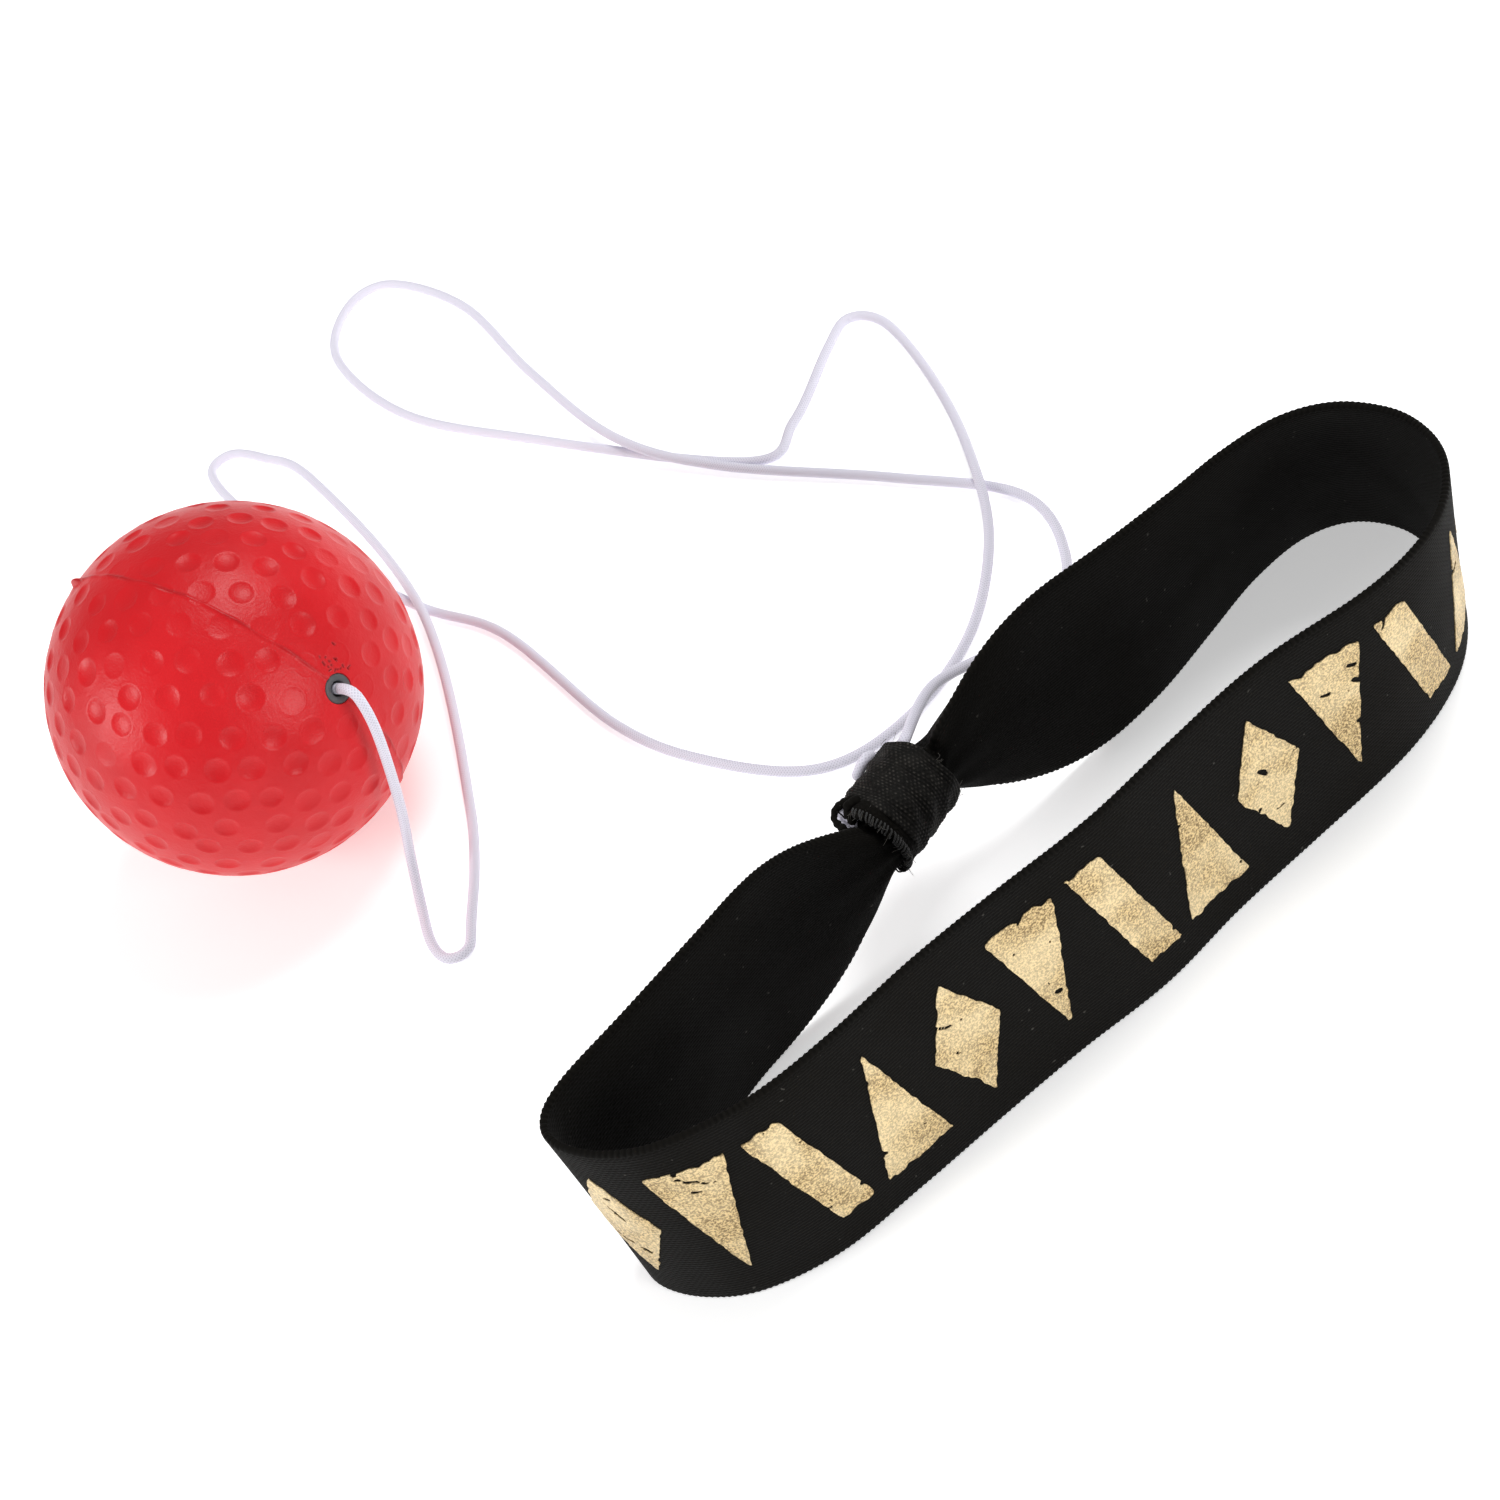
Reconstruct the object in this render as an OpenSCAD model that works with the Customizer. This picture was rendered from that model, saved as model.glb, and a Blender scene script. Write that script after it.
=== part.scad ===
// Reflex ball headband: an elastic band that stands on its lower edge, a
// keeper sleeve round its gathered joint, and a dimpled foam ball on a thin
// elastic cord. +Z is up, +X is along the band, and the floor is z = 0.

/* [Headband] */
// Width of the elastic webbing, which stands on its lower edge
band_w = 40; // [34:1:46]
// Thickness of the webbing
band_t = 1.2; // [0.8:0.1:1.6]
// How far the top edge tips forwards at the loop's right end
band_tip = 13; // [0:1:14]

/* [Keeper sleeve] */
// Length of the keeper sleeve along the gathered webbing
sleeve_l = 12; // [8:1:14]
// Outer diameter of the sleeve
sleeve_d = 14; // [14:0.1:16]
// Wall thickness of the sleeve's elastic tape
sleeve_t = 0.8; // [0.5:0.1:0.8]
// How far the webbing's cut end shows beyond the sleeve
lap_l = 2.3; // [1.5:0.1:2.5]

/* [Ball] */
// Diameter of the foam ball
ball_d = 63; // [55:1:63]
// Height of the moulding flash along the ball's parting line
flash_h = 0.3; // [0.1:0.1:0.5]
// Outer diameter of the liner tube through the ball
liner_d = 5; // [4:0.1:6]
// Bore of the liner tube
liner_bore = 2.6; // [2.5:0.1:3]

/* [Cord] */
// Diameter of the elastic cord
cord_d = 1.8; // [1.5:0.1:1.8]
// Diameter of the knots in the cord
knot_d = 4.2; // [4:0.1:4.6]

/* [Printed foil] */
// Height of the foil shapes on the webbing
foil_h = 26; // [16:1:30]
// Length along the band that each foil shape takes
foil_w = 12; // [8:1:13]

/* [Hidden] */
$fn = 96;

// Clearance between pieces that lie against each other
gap = 0.1;

// Sleeve: its middle, and the direction of its axis seen from above
sleeve_at = [11.5, -34.5, band_w / 2];
sleeve_turn = 30;

// Gathered webbing inside the sleeve: half its thickness, and how far it
// sits off the sleeve's axis to leave the cord a way through
gather_r = 4.7;
gather_shift = 0.57;
// Where the webbing starts to spread beyond the sleeve, and where it is flat
flare_from = 8.5;
flare_to = 38;

// Radius from the sleeve's axis at which the cord runs through the sleeve
channel_r = 4.9;

// Ball: its middle, and the direction in which the liner tube points
ball_at = [-73, 55, ball_d / 2 + 0.2];
liner_turn = -55;
liner_rise = 17;
liner_axis = [cos(liner_rise) * cos(liner_turn),
              cos(liner_rise) * sin(liner_turn), sin(liner_rise)];

// Middle line of the webbing seen from above, clockwise from the sleeve
BAND_PLAN = [
    [11.5, -34.5], [18.5, -31.2], [27, -31.6], [41, -30], [55, -27.3],
    [68, -23.2], [79, -19.5], [89, -18.2], [97, -21], [102.5, -28],
    [104, -36], [102.5, -44], [98, -52], [91, -58], [80, -62.5],
    [62, -65.8], [46, -69.8], [31, -74.2], [15, -76.8], [0, -79.8],
    [-15, -83.3], [-29, -85.6], [-42, -84.4], [-50, -80.5], [-55, -75],
    [-55.7, -70], [-51.8, -65.6], [-41, -60.2], [-28, -53.2], [-16, -48],
    [-3, -43], [4.5, -38.6]
];

// Route of the free cord from the liner tube to the sleeve
CORD_ROUTE = [
    [-53.6, 26.5, 40.6], [-54.2, 24.2, 34], [-58, 24.3, 18.5],
    [-62, 24, 6.5], [-64.5, 18, 1.6], [-65.6, 10, 1.1], [-64.4, 5, 1],
    [-60.8, 4.2, 1], [-58.3, 9, 1], [-50, 33, 1], [-42, 82, 3],
    [-49.5, 134, 1], [-56.5, 149, 1], [-62.5, 155.5, 1], [-67, 151.5, 1],
    [-62, 131, 1], [-43.5, 88, 1], [-31, 67, 1], [-21.5, 32, 1],
    [-11, 13, 1], [3.5, -1.5, 1], [19, -2.5, 1], [36, 6.5, 1],
    [48.5, 23.5, 1.6], [54.5, 43, 3], [57.5, 66, 1], [57, 86, 1],
    [52, 93, 1], [45.5, 88.5, 1], [33, 76, 1], [22, 73, 1],
    [-10, 111.5, 1], [-28, 137.5, 1], [-34.5, 164, 1], [-28, 177.5, 1],
    [-18, 177, 1], [-7.5, 157.5, 1], [-3, 128, 1.3], [4, 96, 3],
    [17, 76, 1.5], [41, 50, 1], [57.5, 29, 1], [57, 11, 1], [48, -2, 3],
    [36, -9, 11], [25, -16, 18.5]
];

// ---- curves ----

function unit(v) = v / norm(v);

function mix(a, b, t) = a + (b - a) * t;

// Point at t on the smooth curve through b and c, with neighbours a and d
function curve_point(a, b, c, d, t) =
    b + t * ((c - a) / 2 + t * ((2 * a - 5 * b + 4 * c - d) / 2
    + t * (3 * b - a - 3 * c + d) / 2));

// Smooth open curve through points, with steps short lines to each gap
function open_curve(points, steps) =
    let (last = len(points) - 1)
    concat([for (i = [0:last - 1], k = [0:steps - 1])
        curve_point(points[max(i - 1, 0)], points[i], points[i + 1],
                    points[min(i + 2, last)], k / steps)], [points[last]]);

// Smooth closed curve through points
function closed_curve(points, steps) =
    let (n = len(points))
    [for (i = [0:n], k = [0:i == n ? 0 : steps - 1])
        curve_point(points[(i + n - 1) % n], points[i % n],
                    points[(i + 1) % n], points[(i + 2) % n], k / steps)];

// Distance along a line of points up to each of them
function distances(points, i = 1, sum = 0) =
    i > len(points) ? []
    : concat([sum], distances(points, i + 1,
        i == len(points) ? sum : sum + norm(points[i] - points[i - 1])));

// Directions along a line of points
function directions(points) =
    let (last = len(points) - 1)
    [for (i = [0:last])
        unit(points[min(i + 1, last)] - points[max(i - 1, 0)])];

// Sideways vectors along a line, each carried on from the one before it
function sideways(heads, side, i = 0) =
    i == len(heads) ? []
    : let (carried = unit(side - (side * heads[i]) * heads[i]))
      concat([carried], sideways(heads, carried, i + 1));

// ---- sweeps ----

// Solid through rings of points; a closed one joins the last to the first
module rings(sections, closed = false) {
    count = len(sections);
    sides = len(sections[0]);
    walls = [for (i = [0:closed ? count - 1 : count - 2], k = [0:sides - 1])
        let (j = (i + 1) % count, m = (k + 1) % sides)
        each [[i * sides + k, i * sides + m, j * sides + m],
              [i * sides + k, j * sides + m, j * sides + k]]];
    ends = closed ? [] : [[for (k = [sides - 1:-1:0]) k],
        [for (k = [0:sides - 1]) (count - 1) * sides + k]];
    polyhedron([for (section = sections) each section],
               concat(walls, ends), convexity = 10);
}

// Round tube of the cord's diameter along a line of points
module cord_tube(points, sides = 8) {
    heads = directions(points);
    first = abs(heads[0].z) < 0.9 ? [0, 0, 1] : [1, 0, 0];
    side = sideways(heads, first);
    rings([for (i = [0:len(points) - 1])
        [for (k = [0:sides - 1])
            let (turn = -360 * k / sides)
            points[i] + cord_d / 2 * (cos(turn) * side[i]
                + sin(turn) * cross(heads[i], side[i]))]]);
}

// ---- the webbing's loop ----

PLAN = closed_curve(BAND_PLAN, 8);
ALONG = distances(PLAN);
band_run = ALONG[len(ALONG) - 1];
X_ALONG = [for (i = [0:len(PLAN) - 1]) [ALONG[i], PLAN[i].x]];
Y_ALONG = [for (i = [0:len(PLAN) - 1]) [ALONG[i], PLAN[i].y]];

function wrap(s) = s < 0 ? s + band_run : s > band_run ? s - band_run : s;

function plan_at(s) =
    [lookup(wrap(s), X_ALONG), lookup(wrap(s), Y_ALONG), 0];

// Where the webbing tips over: the distances along the loop between which it
// does, and the most that its top edge then stands off in X and Y
TIPS = [[10, 175, [0, -band_tip]], [285, 370, [6, -3]]];

function tip_between(s, tip) =
    s < tip[0] || s > tip[1] ? [0, 0]
    : tip[2] * pow(sin(180 * (s - tip[0]) / (tip[1] - tip[0])), 2);

function tip_at(s) = tip_between(s, TIPS[0]) + tip_between(s, TIPS[1]);

// 0 inside the sleeve and 1 where the webbing lies flat
function spread(s) =
    let (away = min(s, band_run - s))
    min(max((away - flare_from) / (flare_to - flare_from), 0), 1);

function half_height(s) =
    band_w / 2 - (band_w / 2 - gather_r) * pow(1 - spread(s), 2);

function half_thickness(s) =
    band_t / 2 + (gather_r - band_t / 2) * pow(1 - spread(s), 3);

// Place on the webbing at distance s: a is outwards and b is upwards
function on_band(s, a, b) =
    let (head = unit(plan_at(s + 0.5) - plan_at(s - 0.5)),
         tip = tip_at(s),
         up = [tip.x, tip.y, sqrt(band_w * band_w - tip * tip)] / band_w,
         out = unit(cross(up, head)),
         shift = gather_shift * pow(1 - spread(s), 4),
         p = plan_at(s) + [0, 0, band_w / 2 * up.z]
             + (a - shift) * out + (b - shift) * up)
    [p.x, p.y, max(p.z, 0)];

function band_section(s) =
    let (w = half_thickness(s), h = half_height(s),
         c = mix(gather_r * 0.586, band_t / 4, 1 - pow(1 - spread(s), 3)))
    [for (q = [[w - c, h], [w, h - c], [w, c - h], [w - c, -h],
               [c - w, -h], [-w, c - h], [-w, h - c], [c - w, h]])
        on_band(s, q[0], q[1])];

module headband_webbing() {
    stations = 104;
    color("#14120f")
    rings([for (i = [0:stations - 1]) band_section(i * band_run / stations)],
          closed = true);
}

// ---- the sleeve and what it holds ----

module at_sleeve() {
    translate(sleeve_at)
    rotate([0, 0, sleeve_turn])
    children();
}

// Curved strip about the sleeve's axis, turned up from the inside of the loop
module strip(r, thickness, from_x, length, from_turn, turn) {
    translate([from_x, 0, 0])
    rotate([0, 90, 0])
    rotate([0, 0, from_turn])
    rotate_extrude(angle = turn)
    translate([r, 0])
    square([thickness, length]);
}

// Thickness of the tape's second end, pressed flat by its stitches
overlap_t = sleeve_t * 0.8;

module keeper_sleeve() {
    inner = sleeve_d / 2 - sleeve_t;
    color("#1b1917")
    at_sleeve() {
        strip(inner, sleeve_t, -sleeve_l / 2, sleeve_l, 0, 360);
        // the tape's second end, laid over the first on the hidden side
        strip(sleeve_d / 2, overlap_t, -sleeve_l / 2, sleeve_l, 40, 60);
    }
}

// Rows of short stitches across a strip
module stitches(r, from_x, length, turns, thread) {
    for (turn = turns)
        rotate([turn, 0, 0])
        translate([from_x, 0, -r - thread / 2])
        rotate([0, 90, 0])
        cylinder(d = thread, h = length, $fn = 16);
}

module keeper_stitching() {
    thread = 0.35;
    rows = 5;
    color("#242220")
    at_sleeve()
    for (row = [0:rows - 1])
        stitches(sleeve_d / 2 + overlap_t + 0.02,
                 mix(-sleeve_l / 2 + 0.6, sleeve_l / 2 - 2, row / (rows - 1)),
                 1.4, [48, 92], thread);
}

module webbing_lap_end() {
    color("#14120f")
    at_sleeve()
    strip(gather_r * 1.2 + gather_shift, 1, -sleeve_l / 2 - lap_l,
          lap_l - 0.02, 165, 165);
}

module lap_stitching() {
    thread = 0.35;
    color("#2c2a27")
    at_sleeve()
    stitches(gather_r * 1.2 + gather_shift + 1.02,
             -sleeve_l / 2 - lap_l + 0.2, 1.3,
             [for (i = [0:8]) -100 - i * 12], thread);
}

// ---- the foil shapes ----

// Lower and upper edge of a foil shape, with q from -1 to 1 across it
function foil_edges(kind, q) =
    kind == 0 ? [-(1 - abs(q)), 1 - abs(q)]
    : kind == 1 ? [-1, 1 - 2 * abs(q)]
    : kind == 2 ? [max(-1, 2 * q - 1), min(1, 2 * q + 1)]
    : [2 * abs(q) - 1, 1];

module foil_shape(middle, kind) {
    thickness = 0.15;
    thin = 0.3;
    rings([for (q = [-1:0.25:1])
        let (s = middle + q * foil_w / 2,
             edges = foil_edges(kind, q) * foil_h / 2,
             a = half_thickness(s) + 0.02)
        [on_band(s, a, edges[0] - thin), on_band(s, a + thickness, edges[0] - thin),
         on_band(s, a + thickness, edges[1] + thin), on_band(s, a, edges[1] + thin)]]);
}

module foil_print() {
    pitch = 14.5;
    bare = 44;
    count = floor((band_run - 2 * bare) / pitch);
    color("#c8a765")
    for (i = [0:count - 1])
        foil_shape(bare + (i + 0.5) * pitch, i % 4);
}

// ---- the cord ----

cord_start = ball_at + ball_d / 2 * liner_axis;
side_r = channel_r * sin(45);
mouth_x = sleeve_l / 2 + 0.5;
cord_end = sleeve_at + [
    mouth_x * cos(sleeve_turn) - side_r * sin(sleeve_turn),
    mouth_x * sin(sleeve_turn) + side_r * cos(sleeve_turn), side_r];

// Knots: turns of cord side by side about the cord itself
turn_pitch = cord_d * 0.7;
knot_l = 2 * turn_pitch + cord_d;
anchor_knot_at = [-sleeve_l / 2 - 2.3, 3.9, 3.8];

// The cord leaves the liner tube and the sleeve straight for this length
cord_straight = 1.5;
sleeve_heading = [cos(sleeve_turn), sin(sleeve_turn), 0];

module cord_run() {
    free = open_curve(concat([cord_start + cord_straight * liner_axis],
        CORD_ROUTE, [cord_end + cord_straight * sleeve_heading]), 2);
    color("#eeebf5")
    cord_tube(concat([cord_start], free, [cord_end]));
}

module cord_in_sleeve() {
    inner_end = anchor_knot_at.x + knot_l / 2 + 0.02;
    color("#eeebf5")
    at_sleeve()
    translate([inner_end, side_r, side_r])
    rotate([0, 90, 0])
    cylinder(d = cord_d, h = mouth_x - inner_end, $fn = 32);
}

// Knot drawn tight, with its axis along Z
module knot() {
    for (k = [-1:1])
        translate([0, 0, k * turn_pitch])
        rotate_extrude($fn = 64)
        translate([(knot_d - cord_d) / 2, 0])
        circle(d = cord_d, $fn = 32);
    cylinder(d = knot_d - cord_d, h = knot_l, center = true);
}

module anchor_knot() {
    color("#eeebf5")
    at_sleeve()
    translate(anchor_knot_at)
    rotate([0, 90, 0])
    knot();
}

// The cord's tail, a short hump from under the edge of the tape's second end
module anchor_tail() {
    r = sleeve_d / 2 + cord_d / 2 + gap;
    turns = [19, 28, 30, 22];
    color("#eeebf5")
    at_sleeve()
    cord_tube(open_curve([for (k = [0:3])
        [k * 1.2 + 0.1, r * cos(turns[k]), r * sin(turns[k])]], 3));
}

module at_liner() {
    translate(ball_at)
    rotate([0, 90 - liner_rise, liner_turn])
    children();
}

module cord_in_ball() {
    color("#eeebf5")
    at_liner()
    cylinder(d = cord_d, h = ball_d, center = true, $fn = 32);
}

module stop_knot() {
    tail_l = 4;
    color("#eeebf5")
    at_liner()
    translate([0, 0, -ball_d / 2 - knot_d / 2 - gap]) {
        knot();
        translate([0, 0, -knot_d / 2 - tail_l + 1])
        cylinder(d = cord_d, h = tail_l, $fn = 32);
    }
}

// ---- the ball ----

flash_w = 0.4;

module ball_foam() {
    color("#d8262b")
    at_liner()
    difference() {
        // the flash runs along the parting line, which the liner tube lies in
        rotate([90, 0, 5]) {
            sphere(d = ball_d);
            cylinder(d = ball_d + 2 * flash_h, h = flash_w, center = true);
        }
        cylinder(d = liner_d + 0.02, h = ball_d + 2, center = true);
    }
}

module liner_tube() {
    length = ball_d - 0.4;
    color("#4a4a4c")
    at_liner()
    difference() {
        cylinder(d = liner_d, h = length, center = true);
        cylinder(d = liner_bore, h = length + 1, center = true);
    }
}

headband_webbing();
webbing_lap_end();
lap_stitching();
foil_print();
keeper_sleeve();
keeper_stitching();
cord_in_sleeve();
anchor_knot();
anchor_tail();
cord_run();
cord_in_ball();
stop_knot();
ball_foam();
liner_tube();
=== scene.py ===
"""The reflex ball headband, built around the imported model: an elastic headband
with a tape sleeve round its gathered joint, and a dimpled foam ball on a thin
knitted cord. Lengths are in millimetres until a mesh is made; Z is up."""

import math

import bmesh
import bpy
import numpy as np
from mathutils import Matrix, Vector, noise


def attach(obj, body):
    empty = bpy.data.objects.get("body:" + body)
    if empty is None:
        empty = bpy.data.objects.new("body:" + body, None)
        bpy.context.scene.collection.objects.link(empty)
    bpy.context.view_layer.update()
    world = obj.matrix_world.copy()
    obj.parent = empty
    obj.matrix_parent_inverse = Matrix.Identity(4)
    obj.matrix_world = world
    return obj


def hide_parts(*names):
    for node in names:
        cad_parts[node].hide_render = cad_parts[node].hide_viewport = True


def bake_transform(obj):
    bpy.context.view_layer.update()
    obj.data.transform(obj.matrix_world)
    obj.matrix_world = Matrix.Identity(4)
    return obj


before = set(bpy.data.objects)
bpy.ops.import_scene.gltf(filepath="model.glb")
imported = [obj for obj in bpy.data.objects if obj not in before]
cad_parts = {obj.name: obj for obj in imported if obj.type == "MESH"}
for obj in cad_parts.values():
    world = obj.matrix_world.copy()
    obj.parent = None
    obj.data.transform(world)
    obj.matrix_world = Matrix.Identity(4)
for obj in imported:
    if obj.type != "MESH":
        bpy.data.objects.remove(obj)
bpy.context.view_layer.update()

MM = 0.001
TURN = 2 * math.pi
random = np.random.default_rng(7)


# ---- sizes and places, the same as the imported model's ----

BAND_W, BAND_T = 40, 1.2
SLEEVE_L, SLEEVE_R, SLEEVE_T, LAP_L = 12, 7, 0.8, 2.3
SLEEVE_AT, SLEEVE_TURN = np.array([11.5, -34.5, 20]), math.radians(30)
GATHER_R, GATHER_SHIFT, CHANNEL_R = 4.7, 0.57, 4.9
FLARE_FROM, FLARE_TO = 8.5, 38
BALL_AT, BALL_R = np.array([-73, 55, 31.7]), 31.5
LINER_R, BORE_R = 2.5, 1.3
LINER_TURN, LINER_TILT = math.radians(-55), math.radians(73)
CORD_R, KNOT_R = 0.9, 2.1
FOIL_H, FOIL_W, FOIL_PITCH, FOIL_BARE = 26, 12, 14.5, 44

BAND_PLAN = [
    (11.5, -34.5), (18.5, -31.2), (27, -31.6), (41, -30), (55, -27.3),
    (68, -23.2), (79, -19.5), (89, -18.2), (97, -21), (102.5, -28),
    (104, -36), (102.5, -44), (98, -52), (91, -58), (80, -62.5),
    (62, -65.8), (46, -69.8), (31, -74.2), (15, -76.8), (0, -79.8),
    (-15, -83.3), (-29, -85.6), (-42, -84.4), (-50, -80.5), (-55, -75),
    (-55.7, -70), (-51.8, -65.6), (-41, -60.2), (-28, -53.2), (-16, -48),
    (-3, -43), (4.5, -38.6),
]

# The cord's route in metres, from the ball to the sleeve
CORD_ROUTE = [
    (-0.0536, 0.0265, 0.0406), (-0.0542, 0.0242, 0.034), (-0.058, 0.0243, 0.0185),
    (-0.062, 0.024, 0.0065), (-0.0645, 0.018, 0.0016), (-0.0656, 0.010, 0.0011),
    (-0.0644, 0.005, 0.001), (-0.0608, 0.0042, 0.001), (-0.0583, 0.009, 0.001),
    (-0.050, 0.033, 0.001), (-0.042, 0.082, 0.003), (-0.0495, 0.134, 0.001),
    (-0.0565, 0.149, 0.001), (-0.0625, 0.1555, 0.001), (-0.067, 0.1515, 0.001),
    (-0.062, 0.131, 0.001), (-0.0435, 0.088, 0.001), (-0.031, 0.067, 0.001),
    (-0.0215, 0.032, 0.001), (-0.011, 0.013, 0.001), (0.0035, -0.0015, 0.001),
    (0.019, -0.0025, 0.001), (0.036, 0.0065, 0.001), (0.0485, 0.0235, 0.0016),
    (0.0545, 0.043, 0.003), (0.0575, 0.066, 0.001), (0.057, 0.086, 0.001), (0.052, 0.093, 0.001),
    (0.0455, 0.0885, 0.001), (0.033, 0.076, 0.001), (0.022, 0.073, 0.001),
    (-0.010, 0.1115, 0.001), (-0.028, 0.1375, 0.001), (-0.0345, 0.164, 0.001),
    (-0.028, 0.1775, 0.001), (-0.018, 0.177, 0.001), (-0.0075, 0.1575, 0.001),
    (-0.003, 0.128, 0.0013), (0.004, 0.096, 0.003), (0.017, 0.076, 0.0015), (0.041, 0.050, 0.001),
    (0.0575, 0.029, 0.001), (0.057, 0.011, 0.001), (0.048, -0.002, 0.003), (0.036, -0.009, 0.011),
    (0.025, -0.016, 0.0185),
]


# ---- meshes ----

def unit(v):
    v = np.asarray(v, float)
    return v / np.linalg.norm(v, axis=-1, keepdims=True)


def curve(points, steps, closed=False):
    """Catmull-Rom curve through points, with steps short lines to each gap."""
    p = np.array(points, float)
    n = len(p)
    if closed:
        a, b, c, d = (np.roll(p, k, axis=0) for k in (1, 0, -1, -2))
    else:
        i = np.arange(n - 1)
        a, b = p[np.maximum(i - 1, 0)], p[i]
        c, d = p[i + 1], p[np.minimum(i + 2, n - 1)]
    t = (np.arange(steps) / steps)[None, :, None]
    a, b, c, d = (x[:, None, :] for x in (a, b, c, d))
    line = b + t * ((c - a) / 2 + t * ((2 * a - 5 * b + 4 * c - d) / 2
                                       + t * (3 * b - a - 3 * c + d) / 2))
    return np.vstack([line.reshape(-1, p.shape[1]), p[:1] if closed else p[-1:]])


def along(points):
    """Distance along a line of points up to each of them."""
    return np.r_[0, np.cumsum(np.linalg.norm(np.diff(points, axis=0), axis=1))]


def respaced(points, spacing):
    run = along(points)
    at = np.linspace(0, run[-1], max(int(round(run[-1] / spacing)), 2) + 1)
    return np.stack([np.interp(at, run, points[:, k]) for k in range(3)], axis=1)


def grid(points, u=None, v=None, wrap_u=False, wrap_v=False, caps=False):
    """Quads over points[i, j] as (points, faces, corner UVs). With caps, the
    two ends of a grid that wraps along j are closed."""
    nu, nv = points.shape[:2]
    cols, rows = nu - (not wrap_u), nv - (not wrap_v)
    u = np.arange(cols + 1) if u is None else u
    v = np.arange(rows + 1) if v is None else v
    i, j = (x.ravel() for x in np.meshgrid(np.arange(cols), np.arange(rows), indexing="ij"))
    corners = [(i, j), (i + 1, j), (i + 1, j + 1), (i, j + 1)]
    faces = np.stack([(p % nu) * nv + q % nv for p, q in corners], axis=1).tolist()
    uvs = np.stack([np.stack([u[p], v[q]], axis=1) for p, q in corners], axis=1)
    verts = points.reshape(-1, 3)
    uvs = uvs.reshape(-1, 2)
    if caps:
        middles = [points[0].mean(axis=0), points[-1].mean(axis=0)]
        verts = np.vstack([verts, middles])
        for row, middle, flip in ((0, nu * nv, True), (nu - 1, nu * nv + 1, False)):
            for k in range(nv):
                a, b = row * nv + k, row * nv + (k + 1) % nv
                faces.append([middle, b, a] if flip else [middle, a, b])
                end = u[0] if flip else u[-1]
                uvs = np.vstack([uvs, [[end, v[k]]] * 3])
    return verts, faces, uvs


def joined(parts):
    """Several (points, faces, UVs) as one."""
    verts, faces, uvs, first = [], [], [], 0
    for part_verts, part_faces, part_uvs in parts:
        verts.append(part_verts)
        faces += [[k + first for k in face] for face in part_faces]
        uvs.append(part_uvs)
        first += len(part_verts)
    return np.vstack(verts), faces, np.vstack(uvs)


def tube(points, radius, sides=12, side=(0, 0, 1), rounded=True):
    """Tube along points, with its ends drawn in to a dome."""
    points = np.array(points, float)
    radii = np.broadcast_to(np.asarray(radius, float), len(points)).copy()
    if rounded:
        dome = np.radians([80, 55, 28])
        head, tail = unit(points[1] - points[0]), unit(points[-1] - points[-2])
        first = [points[0] - head * radii[0] * math.sin(k) for k in dome]
        last = [points[-1] + tail * radii[-1] * math.sin(k) for k in dome[::-1]]
        radii = np.r_[radii[0] * np.cos(dome), radii, radii[-1] * np.cos(dome[::-1])]
        points = np.vstack([first, points, last])
    heads = unit(np.gradient(points, axis=0))
    side = np.array(side, float)
    if abs(heads[0] @ side) > 0.9:
        side = np.array([1.0, 0, 0]) if abs(heads[0][0]) < 0.9 else np.array([0, 1.0, 0])
    rings = []
    turns = np.arange(sides) * TURN / sides
    for point, head, r in zip(points, heads, radii):
        side = unit(side - (side @ head) * head)
        other = np.cross(head, side)
        rings.append(point + r * (np.cos(turns)[:, None] * side
                                  + np.sin(turns)[:, None] * other))
    return grid(np.array(rings), along(points), np.arange(sides + 1) / sides,
                wrap_v=True, caps=True)


def piece(name, part, look, body=None, stands_for=(), crease=None):
    """Object from (points in millimetres, faces, UVs)."""
    verts, faces, uvs = part
    mesh = bpy.data.meshes.new(name)
    mesh.from_pydata((np.asarray(verts) * MM).tolist(), [], faces)
    layer = mesh.uv_layers.new(name="UVMap")
    layer.data.foreach_set("uv", np.asarray(uvs, np.float32).ravel())
    mesh.materials.append(look)
    made = bmesh.new()
    made.from_mesh(mesh)
    bmesh.ops.recalc_face_normals(made, faces=made.faces)
    made.to_mesh(mesh)
    made.free()
    mesh.shade_smooth()
    if crease:
        mesh.set_sharp_from_angle(angle=math.radians(crease))
    obj = bpy.data.objects.new(name, mesh)
    bpy.context.scene.collection.objects.link(obj)
    if body:
        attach(obj, body)
    if stands_for:
        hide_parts(*stands_for)
    return obj


def wander(points, scale, seed):
    """Smooth noise from about -1 to 1 at each point."""
    shift = Vector((seed * 7.31, seed * 3.17, seed * 5.77))
    return np.array([noise.noise(Vector(p) / scale + shift) for p in points])


# ---- materials ----

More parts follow.
